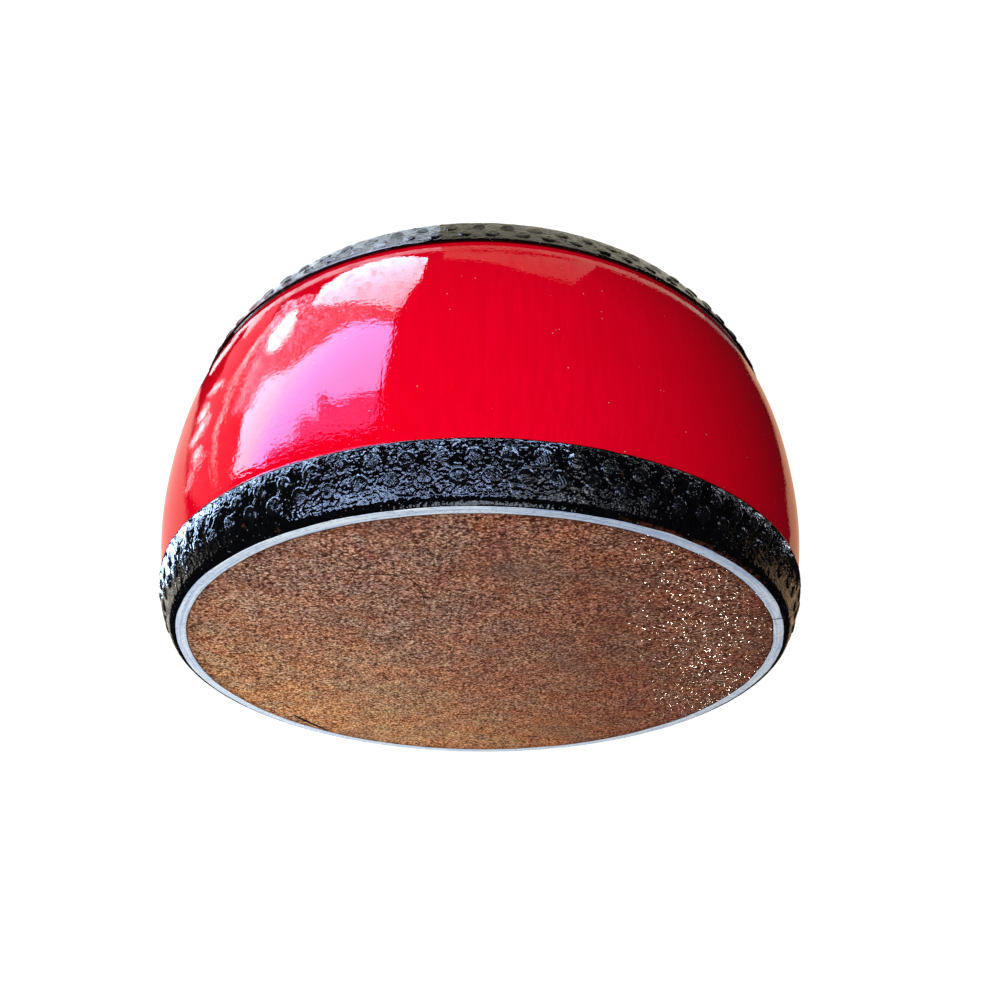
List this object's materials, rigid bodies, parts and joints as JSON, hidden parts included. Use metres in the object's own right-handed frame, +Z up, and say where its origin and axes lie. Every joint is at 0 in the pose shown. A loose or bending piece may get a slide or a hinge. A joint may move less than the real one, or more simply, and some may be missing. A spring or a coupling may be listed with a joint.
{
  "type": "barrel drum",
  "caption": "Wide, shallow barrel drum: bowed wooden staves joined edge to edge, with a hide head pegged over each end.",
  "frame": {"origin": "centre of the lower head's outer face, on the surface that the drum stands on", "axes": "+Z up along the drum's axis, from the lower head to the upper; +X through the middle of the first stave"},
  "size_m": [0.5606, 0.561, 0.26],
  "materials": {
    "red_lacquer": "gloss red lacquer on wood",
    "natural_hide": "natural rawhide",
    "black_gloss_paint": "gloss black paint on hide",
    "white_paint": "matt white paint on hide",
    "bamboo": "bare bamboo"
  },
  "bodies": {
    "root": {"top_hide": "natural_hide", "bottom_hide": "natural_hide", "stave_01": "red_lacquer", "stave_02": "red_lacquer", "stave_03": "red_lacquer", "stave_04": "red_lacquer", "stave_05": "red_lacquer", "stave_06": "red_lacquer", "stave_07": "red_lacquer", "stave_08": "red_lacquer", "stave_09": "red_lacquer", "stave_10": "red_lacquer", "stave_11": "red_lacquer", "stave_12": "red_lacquer", "stave_13": "red_lacquer", "stave_14": "red_lacquer", "stave_15": "red_lacquer", "stave_16": "red_lacquer", "stave_17": "red_lacquer", "stave_18": "red_lacquer", "stave_19": "red_lacquer", "stave_20": "red_lacquer", "stave_21": "red_lacquer", "stave_22": "red_lacquer", "stave_23": "red_lacquer", "stave_24": "red_lacquer", "stave_25": "red_lacquer", "stave_26": "red_lacquer", "seam_pin_01": "bamboo", "seam_pin_02": "bamboo", "seam_pin_03": "bamboo", "seam_pin_04": "bamboo", "seam_pin_05": "bamboo", "seam_pin_06": "bamboo", "seam_pin_07": "bamboo", "seam_pin_08": "bamboo", "seam_pin_09": "bamboo", "seam_pin_10": "bamboo", "seam_pin_11": "bamboo", "seam_pin_12": "bamboo", "seam_pin_13": "bamboo", "seam_pin_14": "bamboo", "seam_pin_15": "bamboo", "seam_pin_16": "bamboo", "seam_pin_17": "bamboo", "seam_pin_18": "bamboo", "seam_pin_19": "bamboo", "seam_pin_20": "bamboo", "seam_pin_21": "bamboo", "seam_pin_22": "bamboo", "seam_pin_23": "bamboo", "seam_pin_24": "bamboo", "seam_pin_25": "bamboo", "seam_pin_26": "bamboo"}
  },
  "joints": []
}
